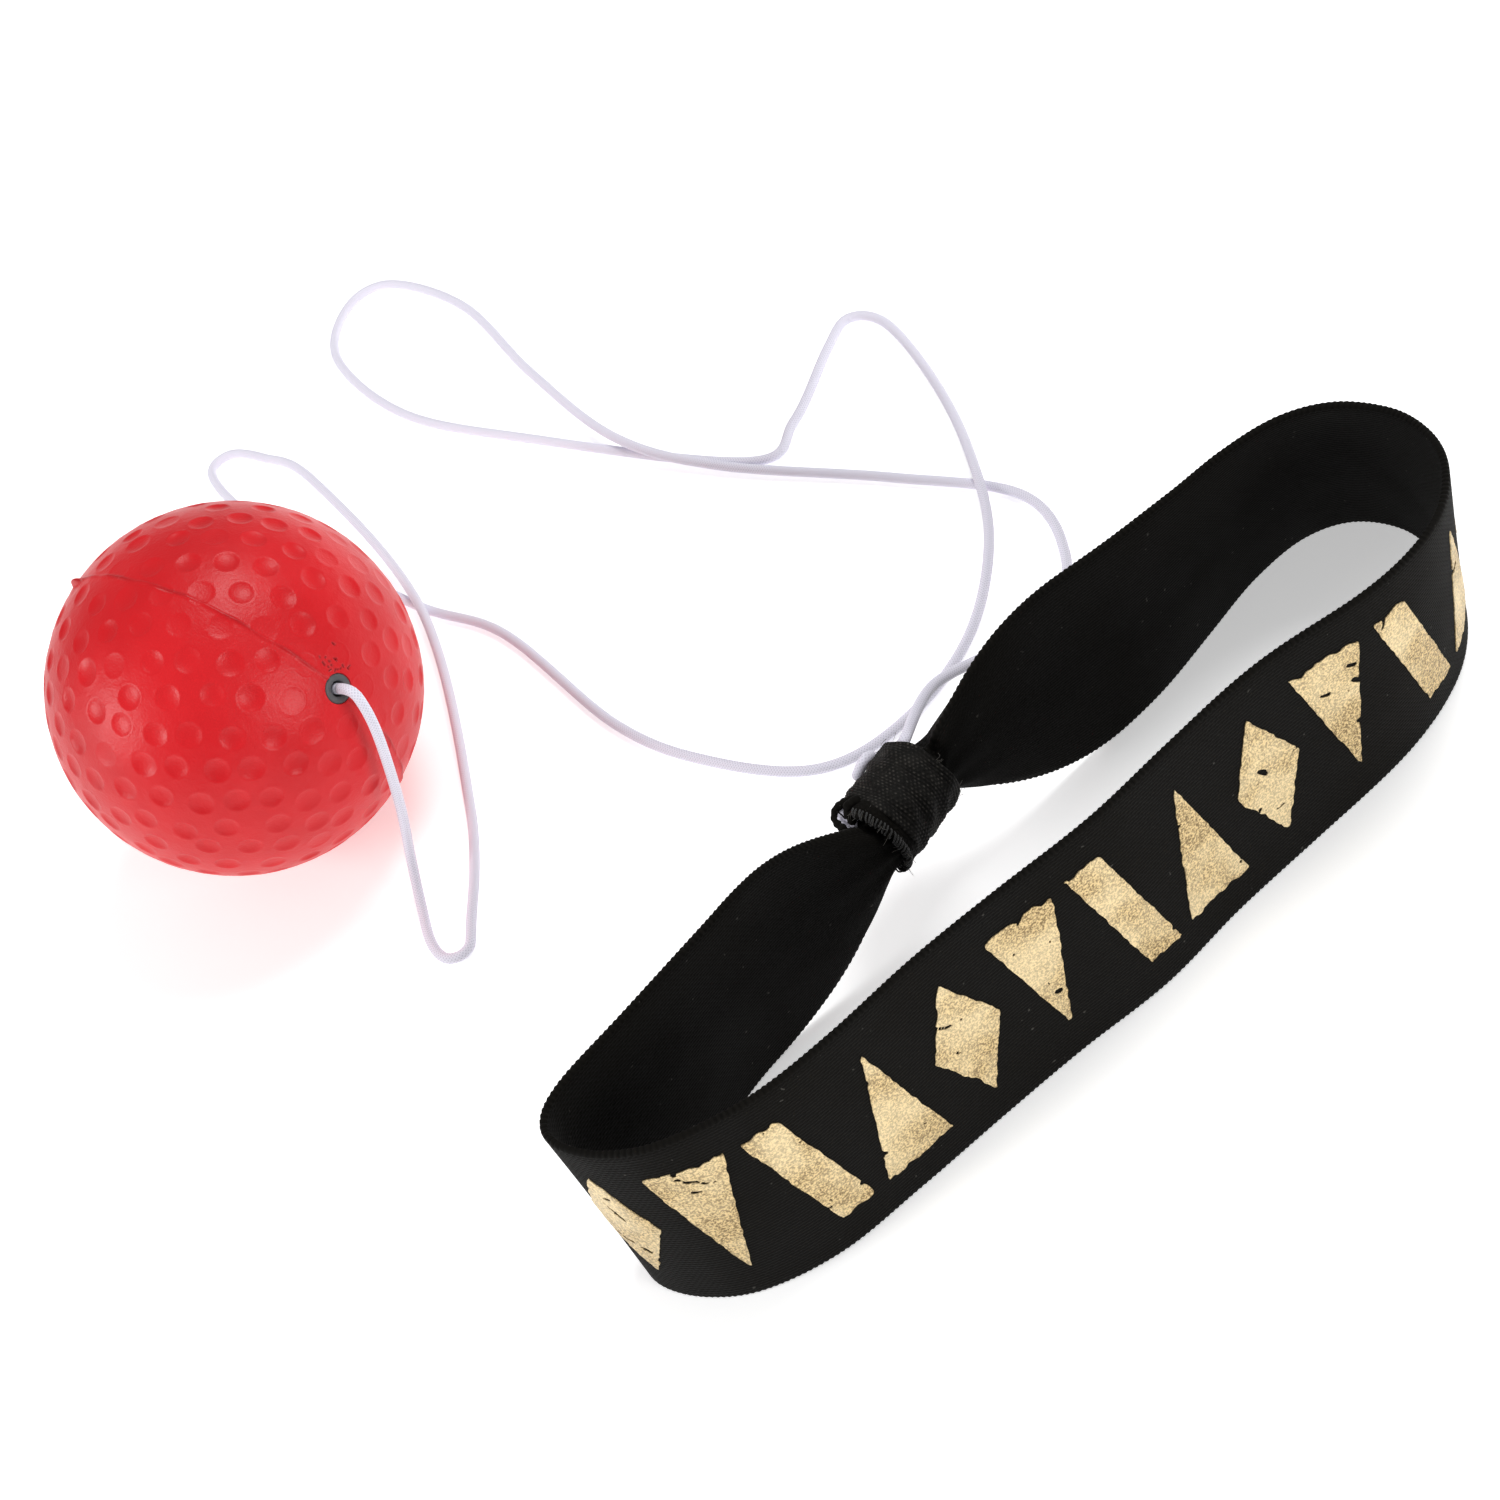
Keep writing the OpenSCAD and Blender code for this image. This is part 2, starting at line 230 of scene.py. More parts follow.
class Look:
    """A node material in the making."""

    def __init__(self, name, colour, roughness, **constants):
        self.material = bpy.data.materials.new(name)
        self.material.use_nodes = True
        self.tree = self.material.node_tree
        self.shader = self.tree.nodes["Principled BSDF"]
        self.put("Base Color", (*colour, 1))
        self.put("Roughness", roughness)
        for socket, value in constants.items():
            self.put(socket.replace("_", " "), value)
        self.heights = None

    def put(self, socket, value):
        self.shader.inputs[socket].default_value = value

    def node(self, kind, inputs=(), **settings):
        made = self.tree.nodes.new("ShaderNode" + kind)
        for key, value in settings.items():
            setattr(made, key, value)
        for socket, value in dict(inputs).items():
            if isinstance(value, bpy.types.NodeSocket):
                self.tree.links.new(value, made.inputs[socket])
            else:
                made.inputs[socket].default_value = value
        return made

    def link(self, value, socket):
        self.tree.links.new(value, self.shader.inputs[socket])

    def place(self):
        """The point on the piece, in metres."""
        return self.node("TexCoord").outputs["Object"]

    def uv(self, scale_u, scale_v):
        at = self.node("TexCoord").outputs["UV"]
        return self.node("VectorMath", {0: at, 1: (scale_u, scale_v, 1)},
                         operation="MULTIPLY").outputs[0]

    def noise(self, at, scale, detail=2.0, roughness=0.5):
        return self.node("TexNoise", {"Vector": at, "Scale": scale, "Detail": detail,
                                      "Roughness": roughness}).outputs["Fac"]

    def maths(self, kind, a, b=0.0):
        return self.node("Math", {0: a, 1: b}, operation=kind).outputs[0]

    def ramp(self, value, low, high):
        """0 below low and 1 above high."""
        return self.node("MapRange", {0: value, 1: low, 2: high},
                         interpolation_type="SMOOTHSTEP").outputs[0]

    def mix(self, share, a, b):
        sockets = {0: share, 6: (*a, 1) if isinstance(a, tuple) else a,
                   7: (*b, 1) if isinstance(b, tuple) else b}
        return self.node("Mix", sockets, data_type="RGBA").outputs[2]

    def colour(self, value):
        self.link(value, "Base Color")

    def rough(self, value, low, high):
        self.link(self.node("MapRange", {0: value, 3: low, 4: high}).outputs[0],
                  "Roughness")

    def bump(self, height, depth, strength=1.0):
        """Raise the surface by height, from 0 to 1, times depth in metres."""
        inputs = {"Height": height, "Distance": depth, "Strength": strength}
        if self.heights is not None:
            inputs["Normal"] = self.heights
        self.heights = self.node("Bump", inputs).outputs[0]
        self.link(self.heights, "Normal")


def wave(look, value, sharp=1.0):
    """Rows of ridges, from 0 to 1, one to each unit of value."""
    sine = look.maths("SINE", look.maths("MULTIPLY", value, TURN))
    height = look.maths("MULTIPLY_ADD", sine, 0.5)
    height.node.inputs[2].default_value = 0.5
    return look.maths("POWER", height, sharp)


def woven(look, ribs, picks, depth):
    """Ribs along U and short picks across them, shifted on every other rib;
    ribs and picks are the pitches in millimetres."""
    at = look.node("SeparateXYZ", {0: look.uv(1 / picks, 1 / ribs)})
    across, up = at.outputs[0], at.outputs[1]
    rib = wave(look, up, 0.7)
    row = look.maths("FLOOR", up)
    shifted = look.maths("ADD", across, look.maths("MULTIPLY", row, 0.5))
    pick = wave(look, shifted, 0.8)
    height = look.maths("MULTIPLY", rib, pick)
    look.bump(height, depth)
    return height


def webbing_look():
    look = Look("black_elastic_webbing", (0.005, 0.0044, 0.0035), 0.84,
                Specular_IOR_Level=0.09, Sheen_Weight=0.012, Sheen_Roughness=0.45)
    height = woven(look, 0.62, 0.95, 0.00011)
    at = look.place()
    cloud = look.ramp(look.noise(at, 55, 4), 0.35, 0.72)
    base = look.mix(cloud, (0.0018, 0.0015, 0.001), (0.0034, 0.0029, 0.0021))
    # painted highlight and shade: the weave's raised threads are painted lighter than its hollows
    grain = look.mix(look.maths("MULTIPLY", height, 0.6), base, (0.0065, 0.0056, 0.0044))
    lint = look.ramp(look.noise(at, 900, 1), 0.765, 0.80)
    look.colour(look.mix(lint, grain, (0.045, 0.043, 0.038)))
    look.rough(cloud, 0.78, 0.92)
    return look.material


def tape_look():
    look = Look("ribbed_sleeve_tape", (0.011, 0.010, 0.009), 0.8,
                Specular_IOR_Level=0.15, Sheen_Weight=0.03, Sheen_Roughness=0.4)
    height = woven(look, 0.5, 0.8, 0.0001)
    at = look.place()
    dust = look.ramp(look.noise(at, 500, 3), 0.42, 0.72)
    base = look.mix(dust, (0.004, 0.0036, 0.003), (0.009, 0.0082, 0.007))
    # painted highlight: light dashes painted on the rib tops, in patches
    dash = look.maths("MULTIPLY", look.ramp(height, 0.3, 0.9),
                      look.ramp(look.noise(at, 1100, 2), 0.36, 0.68))
    look.colour(look.mix(dash, base, (0.05, 0.046, 0.04)))
    return look.material


def thread_look(name, dark, light):
    look = Look(name, dark, 0.7, Sheen_Weight=0.2)
    at = look.node("SeparateXYZ", {0: look.uv(1, 1)})
    twist = look.maths("ADD", look.maths("MULTIPLY", at.outputs[0], 1.6), at.outputs[1])
    strand = wave(look, look.maths("MULTIPLY", twist, 2))
    look.bump(strand, 0.00004)
    look.colour(look.mix(strand, dark, light))
    return look.material


def foil_look():
    look = Look("printed_gold_foil", (0.58, 0.39, 0.13), 0.4, Metallic=0.6,
                Specular_IOR_Level=0.6)
    at = look.place()
    weave = look.noise(at, 2900, 2, 0.6)
    cell = look.noise(at, 1300, 1)
    # painted highlight: random patches of the foil are mixed up to 0.4 toward its pale highlight
    # gold
    sheen_patches = look.ramp(look.noise(at, 95, 3), 0.38, 0.66)
    grain = look.mix(look.ramp(weave, 0.36, 0.64), (0.2, 0.13, 0.05), (0.74, 0.56, 0.28))
    look.colour(look.mix(look.maths("MULTIPLY", sheen_patches, 0.4), grain, (0.97, 0.82, 0.52)))
    look.rough(weave, 0.34, 0.55)
    look.bump(weave, 0.00011)
    look.bump(cell, 0.00013)
    return look.material


def cord_look():
    look = Look("knitted_white_cord", (0.85, 0.83, 0.91), 0.75,
                Specular_IOR_Level=0.25, Sheen_Weight=0.1, Sheen_Roughness=0.5)
    at = look.node("SeparateXYZ", {0: look.uv(1, 1)})
    lines = look.maths("MULTIPLY", at.outputs[0], 1.9)
    rounds = look.maths("MULTIPLY", at.outputs[1], 8)
    left = wave(look, look.maths("ADD", lines, rounds))
    right = wave(look, look.maths("SUBTRACT", lines, rounds))
    knit = look.maths("MAXIMUM", left, right)
    look.bump(knit, 0.00003)
    # painted shade: the knit's grooves are painted darker and more lavender than the tops of its
    # loops
    knit_shade_share = look.ramp(knit, 0.2, 0.9)
    look.colour(look.mix(knit_shade_share, (0.62, 0.6, 0.7), (0.8, 0.78, 0.88)))
    return look.material


def foam_look():
    look = Look("red_foam_skin", (0.62, 0.012, 0.017), 0.38, Specular_IOR_Level=0.28)
    at = look.place()
    cloud = look.noise(at, 45, 4)
    base = look.mix(look.ramp(cloud, 0.3, 0.7), (0.56, 0.006, 0.01), (0.65, 0.011, 0.016))
    scar = look.node("Attribute", attribute_name="scar").outputs["Fac"]
    look.colour(look.mix(scar, base, (0.12, 0.002, 0.004)))
    look.bump(look.noise(at, 2600, 2, 0.7), 0.00005)
    look.bump(look.noise(at, 500, 2), 0.00008)
    look.rough(look.noise(at, 160, 3), 0.31, 0.45)
    return look.material


def plastic_look():
    look = Look("grey_liner_plastic", (0.07, 0.07, 0.072), 0.5)
    at = look.place()
    streak = look.noise(at, 700, 3)
    look.colour(look.mix(streak, (0.05, 0.05, 0.052), (0.1, 0.1, 0.104)))
    look.bump(streak, 0.00004)
    look.rough(streak, 0.4, 0.6)
    return look.material


def floor_look():
    look = Look("white_table", (0.93, 0.93, 0.93), 0.9, Specular_IOR_Level=0.1,
                Emission_Color=(1, 1, 1, 1), Emission_Strength=0.45)
    look.colour(look.mix(look.noise(look.place(), 6, 2), (0.92, 0.92, 0.92),
                         (0.94, 0.94, 0.94)))
    return look.material


# ---- camera, light and floor ----

def add_camera():
    data = bpy.data.cameras.new("camera")
    data.lens, data.sensor_width = 76.8, 36
    data.clip_start = 0.01
    camera = bpy.data.objects.new("camera", data)
    camera.matrix_world = (Matrix.Translation((-0.0042, -0.3632, 0.3744))
                           @ Matrix.Rotation(math.radians(45), 4, "X")
                           @ Matrix.Rotation(math.radians(-31), 4, "Z"))
    bpy.context.scene.collection.objects.link(camera)
    bpy.context.scene.camera = camera


def add_light(name, place, target, size, power):
    data = bpy.data.lights.new(name, "AREA")
    data.shape, data.size, data.energy = "DISK", size, power
    light = bpy.data.objects.new(name, data)
    light.location = place
    light.rotation_euler = (Vector(target) - Vector(place)).to_track_quat("-Z", "Y").to_euler()
    bpy.context.scene.collection.objects.link(light)


def add_studio():
    """Three soft boxes round a light table."""
    middle = (-0.02, 0.01, 0.02)
    add_light("left", (-1.0, 0.0, 0.45), middle, 0.45, 5.5)
    add_light("above", (0.48, 0.2, 1.0), middle, 0.5, 6.5)
    add_light("front", (0.55, -0.95, 0.35), middle, 0.45, 5.5)
    world = bpy.data.worlds.new("studio")
    world.use_nodes = True
    world.node_tree.nodes["Background"].inputs["Color"].default_value = (1, 1, 1, 1)
    world.node_tree.nodes["Background"].inputs["Strength"].default_value = 0.35
    bpy.context.scene.world = world
    bpy.context.scene.view_settings.view_transform = "Standard"
    half = 2000
    corners = np.array([[[-half, -half, -0.05], [-half, half, -0.05]],
                        [[half, -half, -0.05], [half, half, -0.05]]], float)
    verts, faces, _ = grid(corners)
    mesh = bpy.data.meshes.new("floor")
    mesh.from_pydata((verts * MM).tolist(), [], faces)
    mesh.materials.append(floor_look())
    floor = bpy.data.objects.new("floor", mesh)
    bpy.context.scene.collection.objects.link(floor)


# ---- the cord ----

def liner_frame():
    """Columns are the liner's local axes; the last is the liner tube's."""
    tilt = np.array([[math.cos(LINER_TILT), 0, math.sin(LINER_TILT)], [0, 1, 0],
                     [-math.sin(LINER_TILT), 0, math.cos(LINER_TILT)]])
    turn = np.array([[math.cos(LINER_TURN), -math.sin(LINER_TURN), 0],
                     [math.sin(LINER_TURN), math.cos(LINER_TURN), 0], [0, 0, 1]])
    return turn @ tilt


LINER = liner_frame()
SLEEVE = np.array([[math.cos(SLEEVE_TURN), -math.sin(SLEEVE_TURN), 0],
                   [math.sin(SLEEVE_TURN), math.cos(SLEEVE_TURN), 0], [0, 0, 1]])


def at_liner(points):
    return BALL_AT + np.asarray(points, float) @ LINER.T


def at_sleeve(points):
    return SLEEVE_AT + np.asarray(points, float) @ SLEEVE.T


def moved(part, place):
    return place(part[0]), part[1], part[2]


SIDE_R = CHANNEL_R * math.sin(math.pi / 4)
CORD_START = at_liner([0, 0, BALL_R])
CORD_END = at_sleeve([SLEEVE_L / 2 + 0.5, SIDE_R, SIDE_R])
CORD_STRAIGHT = 1.5


def cord_path():
    route = np.array(CORD_ROUTE) / MM
    free = curve([CORD_START + CORD_STRAIGHT * LINER[:, 2], *route,
                  CORD_END + CORD_STRAIGHT * SLEEVE[:, 0]], 24)
    path = respaced(np.vstack([CORD_START, free, CORD_END]), 0.9)
    path[:, 2] = np.maximum(path[:, 2], CORD_R)
    return path


def add_cord(look):
    path = cord_path()
    cord = piece("knitted_cord", tube(path, CORD_R, 16, rounded=False), look,
                 stands_for=["cord_run"])
    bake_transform(cord)


def knot(tail):
    """Double overhand knot drawn tight about the Z axis, with its tail
    running out through the points of tail."""
    half = 2.1
    turns = np.radians(np.arange(0, 811, 15))
    wrap = np.stack([1.3 * np.cos(turns), 1.3 * np.sin(turns),
                     np.linspace(-half + 0.5, half - 0.5, len(turns))], axis=1)
    back = np.radians(np.array([60, 100, 140, 175]) + 90)
    bight = np.stack([1.95 * np.cos(back), 1.95 * np.sin(back),
                      np.linspace(half * 0.5, -half * 0.8, 4)], axis=1)
    line = curve(np.vstack([[0, 0, half + 0.6], [0, 0, 0.5], [0.1, -0.3, -half + 0.6],
                            [0.9, -0.6, -half + 0.4], wrap[3::4], bight, tail]), 8)
    return tube(respaced(line, 0.3), CORD_R, 14, side=(1, 0, 0))


def cut_fibres(at, heading, count, length, spread, radius):
    """Loose fibres that fan out from a cut end."""
    parts = []
    for _ in range(count):
        aim = unit(unit(heading) + spread * random.normal(size=3))
        bend = random.normal(size=3) * length * 0.25
        reach = length * random.uniform(0.5, 1.1)
        start = np.asarray(at) + random.normal(size=3) * CORD_R * 0.35
        points = [start, start + aim * reach * 0.5 + bend * 0.25, start + aim * reach + bend]
        parts.append(tube(curve(points, 4), radius, 5))
    return parts


def add_knots(look):
    stop = knot([[-0.9, 0.2, -2.6], [-0.3, 0.3, -4.2], [0.2, 0.1, -5.6]])
    fray = joined(cut_fibres([0.2, 0.1, -5.6], (0, 0, -1), 9, 1.6, 0.3, 0.07))
    to_stop = lambda p: at_liner(p + np.array([0, 0, -BALL_R - KNOT_R - 0.1]))
    piece("stop_knot_tied", moved(joined([stop, fray]), to_stop), look, "cord",
          ["stop_knot"])

    middle = np.array([-SLEEVE_L / 2 - 2.3, 3.9, 3.8])
    anchor = knot([[-1.2, 0.3, -2.2], [-1.7, 0.6, -1.0], [-2.2, 0.5, 0.9]])
    # the knot's axis lies along the sleeve's
    inwards = np.array([0.7, -0.6, -0.6])
    to_anchor = lambda p: at_sleeve(middle + inwards + 0.8 * p
                                    @ np.array([[0, 0, -1], [0, 1, 0], [1, 0, 0]]))
    piece("anchor_knot_tied", moved(anchor, to_anchor), look, "headband",
          ["anchor_knot"])

    r = SLEEVE_R + CORD_R + 0.1
    turns = np.radians([19, 28, 30, 22])
    tail = np.stack([np.arange(4) * 1.2 + 0.1, r * np.cos(turns), r * np.sin(turns)], axis=1)
    parts = [tube(respaced(curve(tail, 8), 0.3), CORD_R, 14)]
    parts += cut_fibres(tail[-1] + [0.4, 0, 0], (1, 0, -0.6), 9, 0.9, 0.3, 0.06)
    piece("anchor_tail_frayed", moved(joined(parts), at_sleeve), look,
          "headband", ["anchor_tail"])


# ---- the webbing ----

PLAN = curve(BAND_PLAN, 32, closed=True)
RUN = along(PLAN)
BAND_RUN = RUN[-1]
TIPS = [(10, 175, (0, -13)), (285, 370, (6, -3))]


def plan_at(s):
    s = np.mod(s, BAND_RUN)
    return np.stack([np.interp(s, RUN, PLAN[:, 0]), np.interp(s, RUN, PLAN[:, 1]),
                     np.zeros_like(s)], axis=-1)


def spread(s):
    s = np.mod(s, BAND_RUN)
    return np.clip((np.minimum(s, BAND_RUN - s) - FLARE_FROM) / (FLARE_TO - FLARE_FROM), 0, 1)


def half_height(s):
    return BAND_W / 2 - (BAND_W / 2 - GATHER_R) * (1 - spread(s)) ** 2


def half_thickness(s):
    return BAND_T / 2 + (GATHER_R - BAND_T / 2) * (1 - spread(s)) ** 3


def on_band(s, a, b):
    """Place at distance s along the loop: a is outwards and b is upwards."""
    head = unit(plan_at(s + 0.5) - plan_at(s - 0.5))
    tip = np.zeros(s.shape + (2,))
    for first, last, lean in TIPS:
        inside = (s > first) & (s < last)
        part = np.sin(math.pi * (s - first) / (last - first)) ** 2 * inside
        tip += part[..., None] * np.array(lean)
    up = np.concatenate([tip, np.sqrt(BAND_W**2 - (tip**2).sum(-1))[..., None]], -1) / BAND_W
    out = unit(np.cross(up, head))
    shift = GATHER_SHIFT * (1 - spread(s)) ** 4
    place = (plan_at(s) + up[..., 2:] * [0, 0, BAND_W / 2]
             + (a - shift)[..., None] * out + (b - shift)[..., None] * up)
    place[..., 2] = np.maximum(place[..., 2], 0)
    return place


def ripple(s, b):
    """Slight waves of the slack webbing."""
    return 0.16 * spread(s) * (np.sin(s / 9.7 + b / 21) + 0.6 * np.sin(s / 5.3 - b / 13 + 1))


def webbing_sheet():
    stations, across, edge = 1400, 26, 3
    s = np.arange(stations) * BAND_RUN / stations
    half = BAND_T / 2
    v = np.linspace(-1, 1, across)
    bend = np.radians([45, 90, 135])
    # round the strip: outer face, top edge, inner face, bottom edge
    at = np.r_[v, np.ones(edge), v[::-1], -np.ones(edge)]
    normal = np.r_[np.ones(across), np.cos(bend), -np.ones(across), -np.cos(bend)]
    beyond = np.r_[np.zeros(across), np.sin(bend), np.zeros(across), -np.sin(bend)]
    S, V = s[:, None] + 0 * at, at + 0 * s[:, None]
    height = half_height(S) - half
    # the gathered webbing bunches up: full on the inner face, grooved on the outer
    bunch = (half_thickness(S) - half) * np.sqrt(1 - V**2) ** 0.8
    outer = bunch * (1 - 0.3 * (0.5 + 0.5 * np.cos(5 * math.pi * V + 0.4)))
    inner = bunch * (1 - 0.1 * (0.5 + 0.5 * np.cos(3.4 * math.pi * V + 2.2)))
    b = height * V
    a = ripple(S, b) + normal * half + np.where(normal > 0, outer, -inner)
    b = b + beyond * half
    selvedge = np.clip((np.abs(V) - 0.93) / 0.07, 0, 1)
    b += np.sign(V) * 0.13 * selvedge * np.sin(S * TURN / 0.9)
    points = on_band(S, a, b)
    widths = np.r_[at * BAND_W / 2, -BAND_W / 2]
    return grid(points, np.r_[s, BAND_RUN], widths, wrap_u=True, wrap_v=True)


def foil_edges(kind, q):
    """Lower and upper edge of a foil shape, for q from -1 to 1 across it."""
    if kind == 0:
        return -(1 - abs(q)), 1 - abs(q)
    if kind == 1:
        return -1 + 0 * q, 1 - 2 * abs(q)
    if kind == 2:
        return np.maximum(-1, 2 * q - 1), np.minimum(1, 2 * q + 1)
    return 2 * abs(q) - 1, 1 + 0 * q


def outline(field, xs, ys):
    """Polygons that cover where field, on the grid of xs and ys, is above 0:
    (points, faces), with the boundary cut cleanly across the cells."""
    points, index, faces = [], {}, []

    def corner(i, j):
        if (i, j) not in index:
            index[(i, j)] = len(points)
            points.append((xs[i], ys[j]))
        return index[(i, j)]

    def crossing(p, q):
        key = (min(p, q), max(p, q))
        if key not in index:
            a, b = key
            t = field[a] / (field[a] - field[b])
            t = min(max(t, 0.02), 0.98)
            index[key] = len(points)
            points.append((xs[a[0]] + t * (xs[b[0]] - xs[a[0]]),
                           ys[a[1]] + t * (ys[b[1]] - ys[a[1]])))
        return index[key]

    for i in range(len(xs) - 1):
        for j in range(len(ys) - 1):
            cell = [(i, j), (i + 1, j), (i + 1, j + 1), (i, j + 1)]
            inside = [field[c] > 0 for c in cell]
            if not any(inside):
                continue
            face = []
            for k in range(4):
                here, there = cell[k], cell[(k + 1) % 4]
                if inside[k]:
                    face.append(corner(*here))
                if inside[k] != inside[(k + 1) % 4]:
                    face.append(crossing(here, there))
            if len(face) >= 3:
                faces.append(face)
    return np.array(points), faces


def foil_field(kind, q, b, along_mm):
    """Above 0 inside one foil shape, cracked and pitted."""
    low, high = foil_edges(kind, q)
    inside = np.minimum(b / FOIL_H * 2 - low, high - b / FOIL_H * 2) * 4.5
    inside = np.minimum(inside, (1 - abs(q)) * FOIL_W / 2)
    flat = np.stack([along_mm.ravel(), b.ravel(), 0 * b.ravel() + kind], axis=1)
    nibble = wander(flat, 1.3, 3).reshape(b.shape) * 0.3
    nibble += wander(flat, 5.0, 4).reshape(b.shape) * 0.2
    field = inside + nibble
    for _ in range(random.integers(2, 6)):  # cracks, most of them slanting one way
        x, y = random.uniform(-0.9, 0.9) * FOIL_W / 2, random.uniform(-0.9, 0.9) * FOIL_H / 2
        turn, length = random.normal(0.9, 0.6), random.exponential(0.7)
        width, sway, beat = random.uniform(0.15, 0.5), random.uniform(0, 0.3), random.uniform(1, 3)
        dx, dy = q * FOIL_W / 2 - x, b - y
        ahead = dx * math.cos(turn) + dy * math.sin(turn)
        aside = dy * math.cos(turn) - dx * math.sin(turn) + sway * np.sin(ahead * beat + x)
        ahead = np.maximum(abs(ahead) - length, 0)
        field = np.minimum(field, np.hypot(ahead, aside) - width + nibble * 0.6)
    for _ in range(7):  # pinholes
        x, y = random.uniform(-1, 1) * FOIL_W / 2, random.uniform(-1, 1) * FOIL_H / 2
        field = np.minimum(field, np.hypot(q * FOIL_W / 2 - x, b - y)
                           - random.uniform(0.12, 0.38))
    return field


def foil_sheet():
    step, thick = 0.42, 0.1
    count = int((BAND_RUN - 2 * FOIL_BARE) // FOIL_PITCH)
    parts = []
    for i in range(count):
        middle = FOIL_BARE + (i + 0.5) * FOIL_PITCH
        xs = np.arange(-FOIL_W / 2 - step, FOIL_W / 2 + 2 * step, step)
        ys = np.arange(-FOIL_H / 2 - step, FOIL_H / 2 + 2 * step, step)
        X, Y = np.meshgrid(xs, ys, indexing="ij")
        q = np.clip(X / (FOIL_W / 2), -1.3, 1.3)
        flat, faces = outline(foil_field(i % 4, q, Y, X + middle), xs, ys)
        s, b = middle + flat[:, 0], flat[:, 1]
        lift = half_thickness(s) + ripple(s, b)
        grain = random.uniform(-0.035, 0.035, len(s))
        top = on_band(s, lift + 0.04 + thick + grain, b)
        under = on_band(s, lift + 0.0, b)
        n = len(s)
        edges = {}
        for face in faces:
            for k in range(len(face)):
                a, c = face[k], face[(k + 1) % len(face)]
                if (c, a) in edges:
                    del edges[(c, a)]
                else:
                    edges[(a, c)] = True
        solid = [list(f) for f in faces] + [[k + n for k in f[::-1]] for f in faces]
        solid += [[c, a, a + n, c + n] for a, c in edges]
        verts = np.vstack([top, under])
        flat_uv = np.vstack([np.stack([s, b], axis=1)] * 2)
        uvs = flat_uv[[k for f in solid for k in f]]
        parts.append((verts, solid, uvs))
    return joined(parts)


def add_webbing():
    look = webbing_look()
    webbing = piece("elastic_webbing", webbing_sheet(), look, "headband",
                    ["headband_webbing"])
    piece("foil_shapes", foil_sheet(), foil_look(), "headband",
          ["foil_print"], crease=50)
    return look


# ---- the sleeve and the cut end ----

def ring_point(r, turn, x):
    """Place about the sleeve's axis: turn is 0 below and grows towards the back."""
    return np.stack([x + 0 * r, r * np.sin(turn), -r * np.cos(turn)], axis=-1)


def sleeve_tape():
    rounds, rows = 300, 112
    turn = np.arange(rounds) * TURN / rounds
    x = np.linspace(-SLEEVE_L / 2, SLEEVE_L / 2, rows)
    T, X = np.meshgrid(turn, x, indexing="ij")
    degrees = np.degrees(T)
    # the tape's second end lies over the first on the hidden side
    over = np.clip((degrees - 38) / 4, 0, 1) * np.clip((102 - degrees) / 4, 0, 1)
    # fine rows of ridges round the sleeve, each a string of short humps
    rib = np.sin(X * math.pi / 0.6) ** 2
    row = np.floor(X / 0.6)
    dash = 0.5 + 0.5 * np.sin(T * 52 + row * math.pi)
    sway = 0.16 * np.sin(3 * T + 1.3) + 0.14 * np.sin(5 * T - X * 0.35) \
        + 0.16 * np.sin(7 * T + X * 1.3 + 2) + 0.12 * np.sin(X * 2.1 + T * 2)
    ends = np.clip((SLEEVE_L / 2 - abs(X)) / 0.5, 0, 1)
    ends = np.sqrt(1 - (1 - ends) ** 2)
    outer = (SLEEVE_R - 0.3 + 0.22 * ends + SLEEVE_T * 0.8 * over
             + (0.13 * rib * (0.35 + 0.65 * dash) + sway) * (0.4 + 0.6 * ends))
    inner = SLEEVE_R - SLEEVE_T + 0.12 * (1 - ends) + 0 * X
    X = X + 0.18 * np.sin(T * 4 + 1) * (abs(X) / (SLEEVE_L / 2)) ** 3
    around = np.concatenate([ring_point(outer, T, X), ring_point(inner, T, X)[:, ::-1]], axis=1)
    widths = np.r_[x, x[::-1] + SLEEVE_L, x[0]]
    return grid(around, np.arange(rounds + 1) * TURN * SLEEVE_R / rounds, widths,
                wrap_u=True, wrap_v=True)


def cut_end():
    """The webbing's cut end, a curved flap that shows beyond the sleeve."""
    columns, rows = 90, 14
    r = GATHER_R * 1.2 + GATHER_SHIFT
    turn = np.linspace(math.radians(165), math.radians(330), columns)
    x = np.linspace(-SLEEVE_L / 2 - LAP_L, -SLEEVE_L / 2 + 0.6, rows)
    T, X = np.meshgrid(turn, x, indexing="ij")
    ragged = 0.35 * np.sin(T * 23) + 0.25 * np.sin(T * 41 + 1) + 0.3 * np.sin(T * 9)
    X = X + ragged * np.clip((-SLEEVE_L / 2 - X) / LAP_L, 0, 1)
    buckle = 0.22 * np.sin(T * 11 + X) * np.clip((-SLEEVE_L / 2 - X) / LAP_L, 0, 1)
    outer = ring_point(r + 0.5 + buckle, T, X)
    inner = ring_point(r - 0.3 + buckle, T, X)
    around = np.concatenate([outer, inner[:, ::-1]], axis=1)
    return grid(around, turn * r, np.r_[x, x[::-1] + 4, x[0]], wrap_v=True, caps=True)


def overlock():
    """Looped threads that bind the cut end."""
    r, parts = GATHER_R * 1.2 + GATHER_SHIFT, []
    edge = -SLEEVE_L / 2 - LAP_L
    for turn in np.radians(np.arange(169, 329, 5.5)):
        lean = math.radians(random.uniform(3, 8))
        path = []
        for k, (x, rise) in enumerate([(1.0, 0.4), (0.7, 0.68), (0.1, 0.75), (-0.25, 0.4),
                                       (-0.1, -0.2), (0.6, -0.35)]):
            path.append(ring_point(np.array(r + rise), np.array(turn + lean * k / 3),
                                   np.array(edge + x + random.uniform(-0.1, 0.1))))
        parts.append(tube(curve(path, 5), 0.14, 7))
    return joined(parts)


